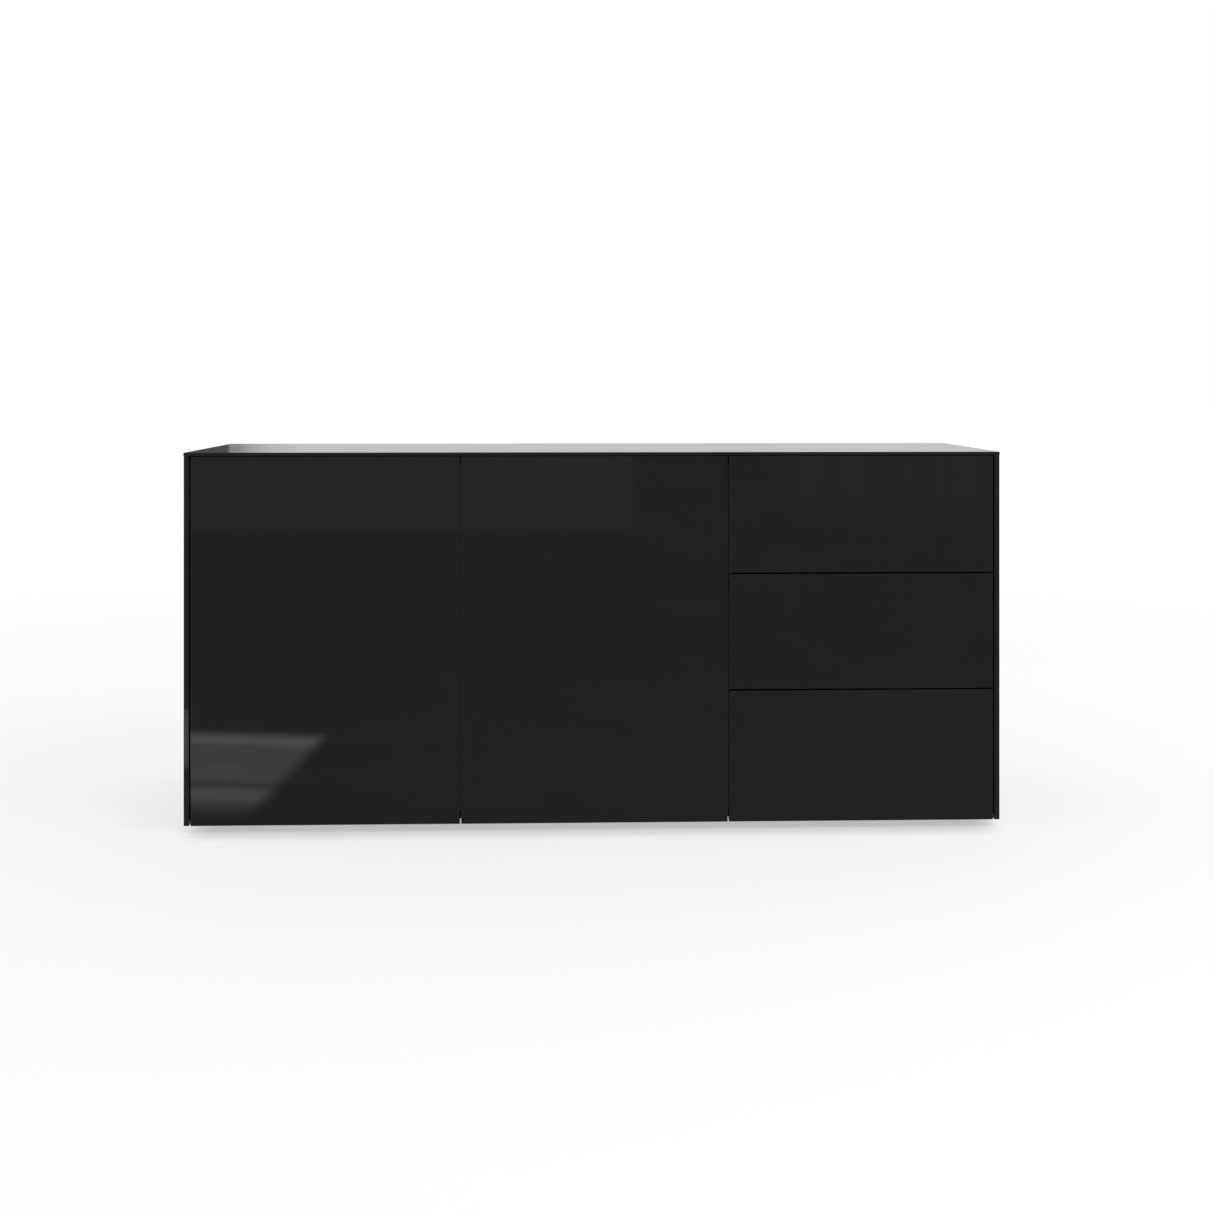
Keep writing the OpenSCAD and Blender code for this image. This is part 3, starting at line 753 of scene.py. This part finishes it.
def build_world():
    """White to the camera, a soft dome to matt surfaces, the studio's shapes to gloss."""
    world = bpy.data.worlds.new("studio")
    scene.world = world
    world.use_nodes = True
    tree = world.node_tree
    tree.nodes.clear()
    seen, tint = mirrored_studio(tree)
    ray = add(tree, "LightPath").outputs
    soft = add(tree, "Mix", {"Factor": ray["Is Glossy Ray"], "A": DOME_LIGHT, "B": seen})
    light = add(tree, "Mix", {"Factor": ray["Is Camera Ray"], "A": soft.outputs["Result"], "B": 1.0})
    colour = add(tree, "MixRGB", {"Fac": ray["Is Glossy Ray"], "Color1": (1, 1, 1, 1),
                                  "Color2": tint})
    background = add(tree, "Background", {"Color": colour.outputs["Color"],
                                          "Strength": light.outputs["Result"]})
    output = add(tree, "OutputWorld")
    tree.links.new(background.outputs["Background"], output.inputs["Surface"])


FLOOR_RADIUS = 60.0
FLOOR_TONE = (0.3, 0.3, 0.3)
# The floor's own light by distance from the sideboard, in metres, to meet the white background
FLOOR_GLOW = 0.665
NEAR_GLOW = ((0.9, 2.0), 0.02)
FAR_GLOW = ((1.8, 6.5), 0.08)
# How dark the painted shadow is under the base, and where it starts and ends past each side, in
# metres
PAINTED_SHADOW_DEPTH = 0.286
PAINTED_SHADOW_SIDE = (0.02, -0.06)
PAINTED_SHADOW_FRONT = (0.07, 0.0)


def painted_contact_shadow(tree):
    """A painted shadow's mask: 1 well under the sideboard, fading to 0 a little way outside its
    outline.
    """
    low, high = cad_box
    place = add(tree, "TexCoord").outputs["Object"]
    parts = add(tree, "SeparateXYZ", {"Vector": place})
    inside = []
    for axis, half, fade in (("X", high[0], PAINTED_SHADOW_SIDE), ("Y", high[1], PAINTED_SHADOW_FRONT)):
        away = calc(tree, "SUBTRACT", calc(tree, "ABSOLUTE", parts.outputs[axis]), half)
        inside.append(between(tree, away, *fade))
    return times(tree, *inside)


def add_floor():
    """A pale floor that meets the white background far away, with a soft painted shadow at the base.
    """
    mesh = bpy.data.meshes.new("floor")
    bm = bmesh.new()
    bmesh.ops.create_circle(bm, cap_ends=True, radius=FLOOR_RADIUS, segments=96)
    bm.to_mesh(mesh)
    bm.free()
    floor = bpy.data.objects.new("floor", mesh)
    scene.collection.objects.link(floor)
    material, tree, shader = finish("floor", {"Base Color": (*FLOOR_TONE, 1), "Roughness": 1.0,
                                              "Specular IOR Level": 0.0,
                                              "Emission Color": (1, 1, 1, 1)})
    place = add(tree, "TexCoord").outputs["Object"]
    away = add(tree, "VectorMath", {0: place}, operation="LENGTH").outputs["Value"]
    (start, end), rise = NEAR_GLOW
    near = between(tree, away, start, end, FLOOR_GLOW, FLOOR_GLOW + rise)
    (start, end), rise = FAR_GLOW
    glow = calc(tree, "ADD", near, between(tree, away, start, end, 0.0, rise))
    # Painted shadow: the floor's own light is darkened under and just around the base
    shade = line(tree, painted_contact_shadow(tree), -PAINTED_SHADOW_DEPTH, 1.0)
    tree.links.new(times(tree, glow, shade), shader.inputs["Emission Strength"])
    mesh.materials.append(material)
    floor.visible_glossy = False


KEY_PLACE = (2.6, -2.6, 3.4)
KEY_AIM = Vector((0, 0, 0.3))
KEY_SIZE = (3.0, 2.0)
KEY_WATTS = 60


def add_key_light():
    """A broad soft light, high in front and to the right."""
    data = bpy.data.lights.new("key", "AREA")
    data.shape = "RECTANGLE"
    data.size, data.size_y = KEY_SIZE
    data.energy = KEY_WATTS
    light = bpy.data.objects.new("key", data)
    light.location = KEY_PLACE
    aim = KEY_AIM - light.location
    light.rotation_euler = aim.to_track_quat("-Z", "Y").to_euler()
    light.visible_glossy = False
    light.visible_camera = False
    scene.collection.objects.link(light)


# ---- Build ----

scene.view_settings.view_transform = "Standard"
add_camera()
finishes = all_finishes()
dress_nodes(finishes)
add_fittings(finishes)
build_world()
add_floor()
add_key_light()
